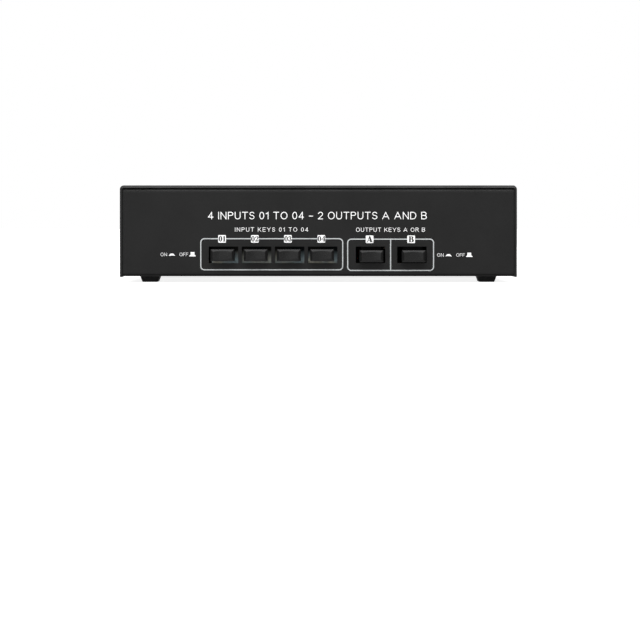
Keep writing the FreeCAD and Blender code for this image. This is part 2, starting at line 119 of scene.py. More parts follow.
def larger(tree, first, second):
    """The larger of two values."""
    node = tree.nodes.new("ShaderNodeMath")
    node.operation = "MAXIMUM"
    tree.links.new(first, node.inputs[0])
    tree.links.new(second, node.inputs[1])
    return node.outputs["Value"]


def noise(tree, place, scale, detail, roughness=0.5, stretch=None):
    """Noise with features about 1/scale metres across, stretched along an axis if asked."""
    if stretch:
        mapping = tree.nodes.new("ShaderNodeMapping")
        preset(mapping, {"Scale": stretch})
        tree.links.new(place, mapping.inputs["Vector"])
        place = mapping.outputs["Vector"]
    node = tree.nodes.new("ShaderNodeTexNoise")
    preset(node, {"Scale": scale, "Detail": detail, "Roughness": roughness})
    tree.links.new(place, node.inputs["Vector"])
    return node.outputs["Fac"]


def ramp(tree, value, low, high, start=0.3, end=0.7):
    """Blend from one colour to another as the value goes from start to end."""
    node = tree.nodes.new("ShaderNodeValToRGB")
    first, last = node.color_ramp.elements
    first.position, last.position = start, end
    first.color, last.color = (*low, 1), (*high, 1)
    tree.links.new(value, node.inputs["Fac"])
    return node.outputs["Color"]


def span(tree, value, low, high, start=0.3, end=0.7):
    """Number that goes from low to high as the value goes from start to end."""
    node = tree.nodes.new("ShaderNodeMapRange")
    preset(node, {"From Min": start, "From Max": end, "To Min": low, "To Max": high})
    tree.links.new(value, node.inputs["Value"])
    return node.outputs["Result"]


def bump(tree, shader, value, depth, under=None):
    """Relief of the given depth in metres, on top of another relief if one is given."""
    node = tree.nodes.new("ShaderNodeBump")
    preset(node, {"Distance": depth, "Strength": 1.0})
    tree.links.new(value, node.inputs["Height"])
    if under:
        tree.links.new(under, node.inputs["Normal"])
    tree.links.new(node.outputs["Normal"], shader.inputs["Normal"])
    return node.outputs["Normal"]


def grey(level):
    return (level, level, level)


def finish_powder_coat(name, low, high, ior=1.5):
    """Fine black powder coat: pebbled relief, faint clouding and small shiny spots."""
    material, tree, shader, place = nodes_of(name)
    cloud, relief = noise(tree, place, 45, 3), 0.00003
    pebble = noise(tree, place, 2600, 3, 0.6)
    paint(tree, shader, ramp(tree, cloud, low, high, 0.35, 0.65), span(tree, pebble, 0.50, 0.66))
    swell = bump(tree, shader, noise(tree, place, 700, 2), relief)
    bump(tree, shader, pebble, relief, swell)
    preset(shader, {"Specular IOR Level": 0.11, "IOR": ior})
    return material


def finish_moulded(name, low, high, roughness, grain=1800.0, relief=0.00001, specular=0.5, subsurface=0.0):
    """Moulded plastic with faint flow marks and a fine spark-eroded grain."""
    material, tree, shader, place = nodes_of(name)
    flow = noise(tree, place, 180, 4, 0.55, (1, 0.35, 1))
    fine = noise(tree, place, grain, 2, 0.6)
    paint(tree, shader, ramp(tree, flow, low, high), span(tree, fine, roughness - 0.05, roughness + 0.07))
    swell = bump(tree, shader, flow, 2 * relief)
    bump(tree, shader, fine, relief, swell)
    preset(shader, {"Specular IOR Level": specular})
    if subsurface:
        preset(shader, {"Subsurface Weight": subsurface, "Subsurface Scale": 0.0008})
    return material


def finish_plated(name, low, high, roughness, stretch=(1, 1, 1), scale=1200.0):
    """Plated metal with drawn or turned marks and a faint haze."""
    material, tree, shader, place = nodes_of(name)
    marks = noise(tree, place, scale, 3, 0.6, stretch)
    haze = noise(tree, place, 220, 3)
    paint(tree, shader, ramp(tree, haze, low, high), span(tree, marks, roughness - 0.06, roughness + 0.10))
    bump(tree, shader, marks, FINE_RELIEF)
    preset(shader, {"Metallic": 1.0})
    return material


def finish_frame_plate():
    """Zinc plate with bluish and yellowish passivation, and painted shade: darker towards the upper edge of each
    opening, where the panel shades it.
    """
    material, tree, shader, place = nodes_of("frame_plate_painted_shade")
    bright_z, dark_z = 0.0135, 0.0195
    tint = ramp(tree, noise(tree, place, 90, 2), (0.12, 0.15, 0.16), (0.19, 0.185, 0.16), 0.4, 0.6)
    marks = noise(tree, place, 1200, 3, 0.6, (1, 1, 0.1))
    parts = tree.nodes.new("ShaderNodeSeparateXYZ")
    tree.links.new(place, parts.inputs["Vector"])
    # painted shade: the plate's colour falls to a fiftieth of itself between these two heights
    painted_shade = span(tree, parts.outputs["Z"], 1.0, 0.02, bright_z, dark_z)
    tint_with_painted_shade = tree.nodes.new("ShaderNodeVectorMath")
    tint_with_painted_shade.operation = "SCALE"
    tree.links.new(tint, tint_with_painted_shade.inputs[0])
    tree.links.new(painted_shade, tint_with_painted_shade.inputs["Scale"])
    paint(tree, shader, tint_with_painted_shade.outputs["Vector"], span(tree, marks, 0.38, 0.55))
    bump(tree, shader, marks, FINE_RELIEF)
    preset(shader, {"Metallic": 1.0})
    return material


def finish_ink(name, low, high, specular=0.35):
    """Screen-printed ink: slightly uneven cover and a soft gloss."""
    material, tree, shader, place = nodes_of(name)
    cover = noise(tree, place, 1500, 4, 0.6)
    paint(tree, shader, ramp(tree, cover, low, high, 0.25, 0.6), span(tree, cover, 0.62, 0.45))
    bump(tree, shader, cover, FINE_RELIEF)
    preset(shader, {"Specular IOR Level": specular})
    return material


def finish_rubber():
    """Matt black rubber with a dusty, slightly blotchy skin."""
    material, tree, shader, place = nodes_of("foot_rubber_skin")
    blotch = noise(tree, place, 400, 5, 0.65)
    paint(tree, shader, ramp(tree, blotch, grey(0.005), grey(0.010)), span(tree, blotch, 0.78, 0.92))
    bump(tree, shader, noise(tree, place, 3200, 2), 0.00003)
    preset(shader, {"Specular IOR Level": 0.2})
    return material


def finish_solder_mask():
    """Green board lacquer with a fibre weave under it."""
    material, tree, shader, place = nodes_of("solder_mask")
    along = noise(tree, place, 900, 2, 0.5, (1, 0.08, 1))
    across = noise(tree, place, 900, 2, 0.5, (0.08, 1, 1))
    woven = larger(tree, along, across)
    green = ramp(tree, woven, (0.012, 0.060, 0.018), (0.024, 0.105, 0.034))
    paint(tree, shader, green, span(tree, woven, 0.22, 0.34))
    bump(tree, shader, woven, 0.00001)
    return material


coat = finish_powder_coat("powder_coat", grey(0.0085), grey(0.0102))
# painted highlight: a lighter copy of the coat, for the cover's front edge where the top light catches it and for the
# chassis lips in the shade under the cover
painted_highlight_coat = finish_powder_coat("powder_coat_painted_highlight", grey(0.040), grey(0.056))
# painted shade: the coat with a weaker reflection, for the lower bends, in place of the floor's contact shadow seen in
# them
painted_shade_coat = finish_powder_coat("powder_coat_painted_shade", grey(0.0085), grey(0.0102), 1.25)
zinc = finish_plated("zinc_plate", (0.40, 0.42, 0.43), (0.55, 0.57, 0.58), 0.36, (1, 1, 0.1))
frame_zinc = finish_frame_plate()
nickel = finish_plated("bright_nickel", (0.46, 0.40, 0.325), (0.58, 0.51, 0.42), 0.24, (1, 6, 1), 900)
wire_steel = finish_plated("spring_wire", grey(0.42), grey(0.60), 0.26, (0.3, 1, 1))
screw_black = finish_plated("black_zinc", grey(0.006), grey(0.016), 0.24, scale=1500)
# worn bare metal round the recess rim, and painted glints on the flat head top between the arms: a lighter metal for
# those faces
screw_wear_and_glints = finish_plated("worn_recess_and_painted_glints", grey(0.07), grey(0.20), 0.30, scale=1500)
bore_nickel = finish_plated("socket_bore", (0.115, 0.100, 0.075), (0.19, 0.17, 0.13), 0.30, (1, 6, 1), 900)
key_black = finish_moulded("key_plastic", grey(0.005), grey(0.008), 0.24, specular=0.125)
# painted shade: a darker, less glossy copy of the key plastic for the side bevels and flanks, which the side light
# leaves dark
key_painted_shade = finish_moulded("key_plastic_painted_shade", grey(0.003), grey(0.005), 0.32, specular=0.06)
housing_black = finish_moulded("housing_plastic", grey(0.002), grey(0.004), 0.55, specular=0.06)
collar_black = finish_moulded("collar_plastic", grey(0.002), grey(0.004), 0.36, specular=0.08)
cap_black = finish_moulded("cap_black_plastic", grey(0.005), grey(0.009), 0.36, specular=0.11)
cap_red = finish_moulded("cap_red_plastic", (0.80, 0.048, 0.024), (0.92, 0.074, 0.038), 0.34, specular=0.25,
                         subsurface=0.1)
acetal = finish_moulded("acetal", (0.70, 0.69, 0.64), (0.80, 0.79, 0.75), 0.42, subsurface=0.1)
rubber = finish_rubber()
lacquer = finish_solder_mask()
red_pvc = finish_moulded("red_pvc", (0.50, 0.020, 0.016), (0.62, 0.034, 0.026), 0.38, 900, 0.00002)
black_pvc = finish_moulded("black_pvc", grey(0.012), grey(0.022), 0.40, 900, 0.00002)
white_ink = finish_ink("white_ink", grey(0.80), grey(0.92))
line_ink = finish_ink("line_ink", (0.36, 0.38, 0.385), (0.48, 0.50, 0.505))
black_ink = finish_ink("black_ink", grey(0.004), grey(0.008), specular=0.12)


# -------------------- mesh helpers
def linked(name, data):
    """New object in the scene."""
    thing = bpy.data.objects.new(name, data)
    bpy.context.scene.collection.objects.link(thing)
    return thing


def mesh_of(name, bm):
    """New mesh from a bmesh, which is freed."""
    mesh = bpy.data.meshes.new(name)
    bm.to_mesh(mesh)
    bm.free()
    return mesh


def taken_up(mesh):
    """New bmesh from a mesh, which is removed."""
    bm = bmesh.new()
    bm.from_mesh(mesh)
    bpy.data.meshes.remove(mesh)
    return bm


def move(bm, offset):
    bmesh.ops.translate(bm, vec=offset, verts=bm.verts)


def rotate(bm, angle, axis):
    """Turn a bmesh about an axis through the origin."""
    bmesh.ops.rotate(bm, cent=(0, 0, 0), matrix=Matrix.Rotation(angle, 3, axis), verts=bm.verts)


def closed_loop(bm, points):
    """Vertices at the points, and the edges that join them in a ring."""
    corners = [bm.verts.new(point) for point in points]
    return corners, [bm.edges.new(pair) for pair in zip(corners, corners[1:] + corners[:1])]


def extruded(bm, edges):
    """New vertices from extruding the edges, still in the old ones' places."""
    grown = bmesh.ops.extrude_edge_only(bm, edges=edges)["geom"]
    return [v for v in grown if isinstance(v, bmesh.types.BMVert)]


def new_piece(name, bm, material, body="case", smooth_angle=32.0):
    """Finished object from a bmesh, riding on a body and given one finish."""
    mesh = mesh_of(name, bm)
    mesh.shade_smooth()
    mesh.set_sharp_from_angle(angle=radians(smooth_angle))
    mesh.materials.append(material)
    piece = linked(name, mesh)
    level_flats(piece)
    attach(piece, body)
    return piece


def level_flats(piece):
    """Shade flat faces flat beside their rounded edges, by normals weighted by face area."""
    piece.modifiers.new("level_flats", "WEIGHTED_NORMAL").keep_sharp = True
    graph = bpy.context.evaluated_depsgraph_get()
    levelled = bpy.data.meshes.new_from_object(piece.evaluated_get(graph), preserve_all_data_layers=True,
                                               depsgraph=graph)
    piece.modifiers.clear()
    rough, piece.data = piece.data, levelled
    bpy.data.meshes.remove(rough)
    levelled.name = piece.name


def on_scene(bm):
    """Object that holds a bmesh while a modifier works on it."""
    return linked("shaping", mesh_of("shaping", bm))


def discard(thing):
    data = thing.data
    bpy.data.objects.remove(thing)
    if data.users == 0:
        bpy.data.batch_remove([data])


def shaped(bm, kind, **settings):
    """The bmesh as one modifier leaves it."""
    thing = on_scene(bm)
    modifier = thing.modifiers.new(kind.lower(), kind)
    for name, value in settings.items():
        setattr(modifier, name, value)
    graph = bpy.context.evaluated_depsgraph_get()
    result = taken_up(bpy.data.meshes.new_from_object(thing.evaluated_get(graph)))
    discard(thing)
    return result


def carve(bm, cutter):
    """Cut one closed bmesh out of another with an exact boolean."""
    tool = on_scene(cutter)
    result = shaped(bm, "BOOLEAN", operation="DIFFERENCE", solver="EXACT", object=tool)
    discard(tool)
    return result


def lathe(profile, steps):
    """Closed ring about the Y axis from a closed loop of (radius, y) corners in millimetres."""
    bm = bmesh.new()
    corners, edges = closed_loop(bm, [(radius * MM, y * MM, 0) for radius, y in profile])
    bmesh.ops.spin(bm, geom=corners + edges, cent=(0, 0, 0), axis=(0, 1, 0), dvec=(0, 0, 0), angle=tau,
                   steps=steps, use_merge=True, use_duplicate=False)
    bmesh.ops.remove_doubles(bm, verts=bm.verts, dist=0.0025 * MM)
    bmesh.ops.delete(bm, geom=[e for e in bm.edges if not e.link_faces], context="EDGES")
    bmesh.ops.recalc_face_normals(bm, faces=bm.faces)
    return bm


def bow(x, z, half_width, half_height, start, end, steps=10):
    """Points along an ellipse from one angle to another, in degrees."""
    turns = [radians(start + (end - start) * i / steps) for i in range(steps + 1)]
    return [(x + half_width * cos(a), z + half_height * sin(a)) for a in turns]


def arc(x, z, radius, start, end, steps):
    """Points along a circle, such as a round bend in a profile."""
    return bow(x, z, radius, radius, start, end, steps)


def merged_into(bm, other):
    """Add another bmesh, which is freed, to a bmesh."""
    mesh = mesh_of("joining", other)
    bm.from_mesh(mesh)
    bpy.data.meshes.remove(mesh)


def stamped(template, places, turns=None):
    """One bmesh with a copy of the template at each place, turned about the Y axis by the given angles."""
    joined = bmesh.new()
    for place, turn in zip(places, turns or [0.0] * len(places)):
        before = len(joined.verts)
        merged_into(joined, template.copy())
        joined.verts.ensure_lookup_table()
        matrix = Matrix.Translation(place) @ Matrix.Rotation(turn, 4, "Y")
        bmesh.ops.transform(joined, matrix=matrix, verts=joined.verts[before:])
    template.free()
    return joined


def block(low, high, bevel=0.0, segments=2):
    """Box between two corners in metres, with its edges rounded."""
    bm = bmesh.new()
    bmesh.ops.create_cube(bm, size=1)
    bmesh.ops.scale(bm, vec=Vector(high) - Vector(low), verts=bm.verts)
    move(bm, (Vector(low) + Vector(high)) / 2)
    if bevel:
        rounded_edges(bm, bm.edges[:], bevel, segments)
    return bm


def rounded_edges(bm, edges, width, segments):
    bmesh.ops.bevel(bm, geom=edges, offset=width, segments=segments, affect="EDGES", profile=0.5, material=-1,
                    clamp_overlap=True)


def softened(node, width, segments=2):
    """Merged copy of a node's mesh with its sharp edges rounded by a small width."""
    bm, sharp = bmesh.new(), radians(30)
    bm.from_mesh(frame["nodes"][node].data)
    bmesh.ops.remove_doubles(bm, verts=bm.verts, dist=0.001 * MM)
    bmesh.ops.dissolve_limit(bm, angle_limit=radians(1), verts=bm.verts, edges=bm.edges)
    edges = [e for e in bm.edges if e.is_manifold and e.calc_face_angle() > sharp]
    rounded_edges(bm, edges, width, segments)
    return bm


# -------------------- case
def case_pieces():
    """Cover with its front edge lightened as a painted highlight, and chassis with its lower bends given a less
    reflective coat as painted shade and its lips close under the cover lightened as painted light.
    """
    painted_highlight_height, painted_highlight_depth = 1.6 * MM, 0.5 * MM
    lip_band, lip_rise, bend = 0.2 * MM, 0.55 * MM, 3 * MM
    bm = softened("top_cover", 0.48 * MM, 3)
    edge_low = cover_high.z - painted_highlight_height
    bmesh.ops.bisect_plane(bm, geom=bm.verts[:] + bm.edges[:] + bm.faces[:], dist=0.001 * MM,
                           plane_co=(0, 0, edge_low), plane_no=(0, 0, 1))
    bm.normal_update()
    for face in bm.faces:
        centre = face.calc_center_median()
        in_front = centre.y < cover_low.y + painted_highlight_depth and face.normal.y < -0.35
        # the cover's front edge faces get the painted highlight
        face.material_index = int(in_front and centre.z > edge_low and abs(face.normal.x) < 0.5)
    cover = new_piece("cover_shell", bm, coat)
    cover.data.materials.append(painted_highlight_coat)
    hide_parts("top_cover")
    bm = softened("chassis", 0.12 * MM)
    lip = [v for v in bm.verts if v.co.z > chassis_high.z - lip_band]
    bmesh.ops.translate(bm, vec=(0, 0, lip_rise), verts=lip)
    bm.normal_update()
    for face in bm.faces:
        centre = face.calc_center_median()
        outside = not chassis_low.y + bend < centre.y < chassis_high.y - bend
        # the lower bends get the painted shade
        if outside and face.normal.z < -0.45:
            face.material_index = 1
        # the chassis lips close under the cover get the painted light
        elif outside and face.normal.z > 0.55 and centre.z > chassis_high.z - bend:
            face.material_index = 2
    shell = new_piece("chassis_shell", bm, coat)
    shell.data.materials.append(painted_shade_coat)
    shell.data.materials.append(painted_highlight_coat)
    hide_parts("chassis")


def foot_pieces():
    """Tapered rubber feet with a round recess underneath."""
    low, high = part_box("rubber_feet")
    top, bottom, height, recess, recess_depth = 11.9 * MM, 9.4 * MM, high.z - low.z, 2.6 * MM, 1.6 * MM
    foot = block((-top / 2, -top / 2, 0), (top / 2, top / 2, height))
    lower = [v for v in foot.verts if v.co.z < height / 2]
    bmesh.ops.scale(foot, vec=(bottom / top, bottom / top, 1), verts=lower)
    edges = [e for e in foot.edges if min(v.co.z for v in e.verts) < height / 2]
    rounded_edges(foot, edges, 0.55 * MM, 4)
    drill = bmesh.new()
    bmesh.ops.create_cone(drill, cap_ends=True, segments=32, radius1=1.1 * recess, radius2=recess,
                          depth=2 * recess_depth)
    places = [Vector((x, y, low.z)) for x in (low.x + top / 2, high.x - top / 2)
              for y in (low.y + top / 2, high.y - top / 2)]
    feet = new_piece("rubber_foot_set", stamped(carve(foot, drill), places), rubber)
    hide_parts("rubber_feet")


def cross_recess(screw, top, length, width, depth):
    """Cut a tapered cross recess with a flared rim into a head whose top is at y = top, in millimetres."""
    flare = 0.25
    levels = ((top - depth, 0.45 * length, 0.75 * width), (top - flare, length, width),
              (top + flare, length + 4 * flare, width + 4 * flare))
    cutter, loops = bmesh.new(), []
    for y, long, wide in levels:
        a, b = long / 2, wide / 2
        quarter = [(a, -b), (a, b), (b, b)]
        points = []
        for _ in range(4):
            points += quarter
            quarter = [(-z, x) for x, z in quarter]
        loops.append(closed_loop(cutter, [Vector((x, y, z)) * MM for x, z in points])[1])
    for lower, upper in zip(loops, loops[1:]):
        bmesh.ops.bridge_loops(cutter, edges=lower + upper)
    bmesh.ops.holes_fill(cutter, edges=loops[0] + loops[-1])
    bmesh.ops.recalc_face_normals(cutter, faces=cutter.faces)
    return carve(screw, cutter)


def pan_head(head, height, shank, length):
    """Pan-head screw along +Y, head underside at y = 0."""
    dome = 1.1
    profile = [(0.001, -length), (shank / 2, -length), (shank / 2, 0), (head / 2 - 0.1, 0), (head / 2, 0.15)]
    profile += arc(head / 2 - dome, height - dome, dome, 0, 70, 6)
    profile += [(head / 4, height - 0.03), (0.001, height)]
    return lathe(profile, 40)


def screw_pieces():
    """Black cross-head screws: those between the posts, each at its own angle, and those in the sides."""
    low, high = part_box("terminal_screws")
    height = (high.y - rear_y) / MM
    worn_rim, painted_glint_radius, worn_depth = 2.3, 1.75, 0.4
    head = pan_head(head=5.9, height=height, shank=3.0, length=7.9)
    screw = cross_recess(head, height, length=3.5, width=0.8, depth=1.4)
    screw.normal_update()
    for face in screw.faces:
        centre = face.calc_center_median() / MM
        spread = hypot(centre.x, centre.z)
        # the flared rim is worn bare metal; the flat top between the arms is lighter as painted glints
        rim = spread < worn_rim and 0.4 < face.normal.y < 0.9
        painted_glints = spread < painted_glint_radius and face.normal.y > 0.9
        face.material_index = int(centre.y > height - worn_depth and (rim or painted_glints))
    turns = [radians(37 * i % 90) for i in COLUMNS]
    screws = new_piece("panel_screws", stamped(screw, base_places, turns), screw_black)
    screws.data.materials.append(screw_wear_and_glints)
    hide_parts("terminal_screws")
    side_screws = new_piece("side_screws", softened("cover_screws", 0.06 * MM), screw_black)
    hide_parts("cover_screws")


# -------------------- keys
def key_piece(kind, name):
    """Key cap with a dished face, four mitred bevels, flanks darkened as painted shade and a hollow back."""
    low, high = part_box(f"{kind}_key_{name}")
    room = 0.22 * MM            # left free above and below
    wide, tall = (high.x - low.x) / 2, (high.z - low.z) / 2 - room
    bevel_x, bevel_z, bevel_depth, dish = 1.5 * MM, 1.4 * MM, 1.0 * MM, 0.35 * MM
    face_wide, face_tall = wide - bevel_x, tall - bevel_z
    bm = bmesh.new()
    bmesh.ops.create_grid(bm, x_segments=24, y_segments=4, size=1)
    bmesh.ops.scale(bm, vec=(face_wide, face_tall, 1), verts=bm.verts)
    rotate(bm, pi / 2, "X")
    for v in bm.verts:
        sunk = dish * (1 - (v.co.x / face_wide) ** 2)
        v.co.y = low.y + sunk
        v.co.z *= 1 + bevel_z * sunk / bevel_depth / face_tall
    for y in (low.y + bevel_depth, high.y):
        for v in extruded(bm, [e for e in bm.edges if e.is_boundary]):
            if y < high.y:
                v.co.z *= tall / (face_tall + bevel_z * (v.co.y - low.y) / bevel_depth)
                v.co.x *= wide / face_wide
            v.co.y = y
    floor = bmesh.ops.contextual_create(bm, geom=[e for e in bm.edges if e.is_boundary])["faces"]
    wall, hollow = 1.1 * MM, 3.6 * MM
    bmesh.ops.inset_region(bm, faces=floor, thickness=wall, use_even_offset=True)
    bmesh.ops.translate(bm, vec=(0, -hollow, 0), verts=list({v for f in floor for v in f.verts}))
    bmesh.ops.recalc_face_normals(bm, faces=bm.faces)
    corners = [e for e in bm.edges if e.calc_face_angle() > radians(20) and max(v.co.y for v in e.verts) < high.y]
    rounded_edges(bm, corners, 0.13 * MM, 2)
    move(bm, ((low.x + high.x) / 2, 0, (low.z + high.z) / 2))
    bm.normal_update()
    # side-facing faces get the painted shade
    for face in bm.faces:
        face.material_index = int(abs(face.normal.x) > 0.4)
    cap = new_piece(f"{kind}_cap_{name}", bm, key_black, f"{kind}_key_{name}_body", 24.0)
    cap.data.materials.append(key_painted_shade)
    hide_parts(f"{kind}_key_{name}")


def coil_spring(length, mean, wire, coils):
    """Wire spring along +Y from y = 0 to its length, in millimetres, with a close turn at each end."""
    turn_steps, close_rise = 24, 1.08 * wire
    open_rise = (length - wire - 2 * close_rise) / (coils - 2)
    bm = bmesh.new()
    bmesh.ops.create_circle(bm, segments=10, radius=wire / 2 * MM)
    move(bm, Vector((mean / 2, wire / 2, 0)) * MM)
    end = bm.verts[:] + bm.edges[:]
    for turns, rise in ((1, close_rise), (coils - 2, open_rise), (1, close_rise)):
        step = (0, rise / turn_steps * MM, 0)
        end = bmesh.ops.spin(bm, geom=end, cent=(0, 0, 0), axis=(0, 1, 0), dvec=step, angle=turns * tau,
                             steps=turns * turn_steps, use_duplicate=False)["geom_last"]
    bmesh.ops.holes_fill(bm, edges=[e for e in bm.edges if e.is_boundary])
    bmesh.ops.recalc_face_normals(bm, faces=bm.faces)
    return bm


def spring_pieces():
    """Return spring behind each key and the spring at the interlock bar's end."""
    wire, coils = 0.5, 6
    for kind, name in KEYS:
        low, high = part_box(f"{kind}_spring_{name}")
        length, travel = high.y - low.y, KEY_TRAVEL
        bm = coil_spring(length / MM, (high.x - low.x) / MM - wire, wire, coils)
        middle_x, middle_z = (low.x + high.x) / 2, (low.z + high.z) / 2
        move(bm, (middle_x, low.y, middle_z))
        spring = new_piece(f"{kind}_return_spring_{name}", bm, wire_steel)
        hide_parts(f"{kind}_spring_{name}")
        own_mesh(spring)
    low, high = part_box("interlock_spring")
    length, travel = high.x - low.x, BAR_TRAVEL
    bm = coil_spring(length / MM, (high.z - low.z) / MM - wire, wire, coils)
    rotate(bm, -pi / 2, "Z")
    move(bm, (low.x, (low.y + high.y) / 2, (low.z + high.z) / 2))
    spring = new_piece("bar_return_spring", bm, wire_steel)
    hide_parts("interlock_spring")
    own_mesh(spring)


# -------------------- binding posts
def post_cap_template():
    """Fluted cap about the Y axis, with y = 0 on the rear panel; slimmer than the node it replaces."""
    flute_count, flute_radius, flute_depth, slimmer = 14, 0.8, 0.75, 0.35
    low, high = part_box("red_post_cap_01")
    rim = (high.x - low.x) / 2 / MM - slimmer
    seat, end = (low.y - rear_y) / MM, (high.y - rear_y) / MM
    body, bore, mouth, round_off = rim - 0.25, 3.46, 3.75, 0.55
    rim_end = seat + 2.6
    profile = [(bore, seat + 0.3), (bore + 0.3, seat), (rim - 0.5, seat)]
    profile += arc(rim - 0.4, seat + 0.4, 0.4, -60, 0, 3)
    profile += arc(rim - 0.3, rim_end - 0.3, 0.3, 0, 70, 3)
    profile += [(body - 0.02, rim_end), (body, rim_end + 0.15)]
    profile += [(body, rim_end + 0.3 * i) for i in (1, 2, 3, 4)]
    profile += [(body, end - 4.5), (body, end - 2.5)]
    profile += arc(body - round_off, end - round_off, round_off, 0, 90, 6)
    profile += [(mouth + 1.2, end), (mouth + 0.2, end), (mouth, end - 0.2), (mouth, end - 1.2), (bore, end - 1.2)]
    bm = lathe(profile, flute_count * 10)
    centre = (body + flute_radius - flute_depth) * MM
    groove, crown = flute_radius * MM, 0.10 * MM
    for v in bm.verts:
        run_out = min(max((v.co.y / MM - rim_end - 0.1) / 0.9, 0), 1)
        if run_out == 0:
            continue
        angle = atan2(v.co.z, v.co.x) % (tau / flute_count) - pi / flute_count
        radius = hypot(v.co.x, v.co.z)
        lobe = body * MM - crown * (1 - abs(angle) * flute_count / pi) ** 2
        across = centre * abs(sin(angle))
        if across < groove:
            lobe = min(lobe, centre * cos(angle) - sqrt(groove**2 - across**2))
        wanted = min(radius, radius + (lobe - radius) * sqrt(run_out))
        v.co.x *= wanted / radius
        v.co.z *= wanted / radius
    return bm


def cap_pieces():
    """Red and black caps, each at its own angle."""
    template = post_cap_template()
    places = iter(post_places)
    for colour, material in zip(COLOURS, (cap_red, cap_black)):
        for i in COLUMNS:
            bm = stamped(template.copy(), [next(places)], [radians(17 * i % 26)])
            cap = new_piece(f"{colour}_fluted_cap_{i:02d}", bm, material,
                            f"{colour}_cap_{i:02d}_body", 38.0)
            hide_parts(f"{colour}_post_cap_{i:02d}")
    template.free()


def stud_piece():
    """Nickel studs: turned ring face, flared deep socket and a cross hole for bare wire."""
    low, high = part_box("terminal_studs")
    reach, tail_end = (high.y - rear_y) / MM, (low.y - rear_y) / MM
    barrel, bore, mouth, lead_in, tail, depth = 3.35, 2.05, 2.65, 1.6, 2.0, 11.0
    cross_radius, cross_y, cross_length = 1.1 * MM, 4.1 * MM, 20 * MM
    profile = [(0.001, tail_end), (tail - 0.3, tail_end), (tail, tail_end + 0.3), (tail, 2.5), (barrel, 2.5)]
    profile += [(barrel, 3.0), (barrel, reach - 1.2), (barrel, reach - 0.45), (barrel - 0.08, reach - 0.32)]
    profile += arc(barrel - 0.50, reach - 0.1, 0.1, 30, 90, 2)
    profile += arc(mouth + 0.12, reach - 0.12, 0.12, 90, 160, 3)
    profile += [(bore, reach - lead_in), (bore, reach - 7), (bore, reach - depth), (0.001, reach - depth - 0.9)]
    hole = bmesh.new()
    bmesh.ops.create_cone(hole, cap_ends=True, segments=20, radius1=cross_radius, radius2=cross_radius,
                          depth=cross_length)
    rotate(hole, pi / 2, "Y")
    move(hole, (0, cross_y, 0))
    stud = carve(lathe(profile, 48), hole)
    for face in stud.faces:
        centre = face.calc_center_median() / MM
        face.material_index = int(hypot(centre.x, centre.z) < mouth and centre.y > reach - depth - 1)
    studs = new_piece("nickel_studs", stamped(stud, post_places), nickel)
    studs.data.materials.append(bore_nickel)
    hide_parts("terminal_studs")


def base_piece():
    """Twin bases: stepped collars outside the panel on a plate behind it."""
    low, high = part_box("terminal_bases")
    collar, rim, hole, sheet, tall = 8.3, 7.4, 2.1, 1.2, (high.y - rear_y) / MM
    inner, floor = (low.y - rear_y) / MM, tall - 1.0
    profile = [(hole, -sheet), (collar, -sheet)]
    profile += arc(collar - 0.45, tall - 0.45, 0.45, 0, 90, 4)
    profile += arc(rim + 0.15, tall - 0.15, 0.15, 90, 180, 2)
    profile += arc(rim - 0.2, floor + 0.2, 0.2, 0, -90, 2)
    profile += [(5.0, floor), (hole, floor)]
    bases = stamped(lathe(profile, 72), post_places)
    x_half, z_half = 9.1 * MM, (high.z - low.z) / 2 + 0.5 * MM
    plate = block((-x_half, inner * MM, -z_half), (x_half, -sheet * MM, z_half), 0.5 * MM, 3)
    merged_into(bases, stamped(plate, base_places))
    piece = new_piece("twin_bases", bases, collar_black)
    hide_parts("terminal_bases")


# -------------------- lettering
# Legends are laid out in millimetres as the reader sees them: x to the right from the middle of the case and
# z up from its underside.
INK_HEIGHT = 0.04           # the top over the panel
BADGE_LIFT = 0.05           # a badge over its frame line, and a mark over its badge
STROKE_STEP = 0.003         # neighbouring strokes differ in height, so that their tops don't share a plane
STEM = [(0, 0), (0, 1)]
UPPER_BOWL = [(0, 1), *bow(0.35, 0.76, 0.25, 0.24, 90, -90), (0, 0.52)]
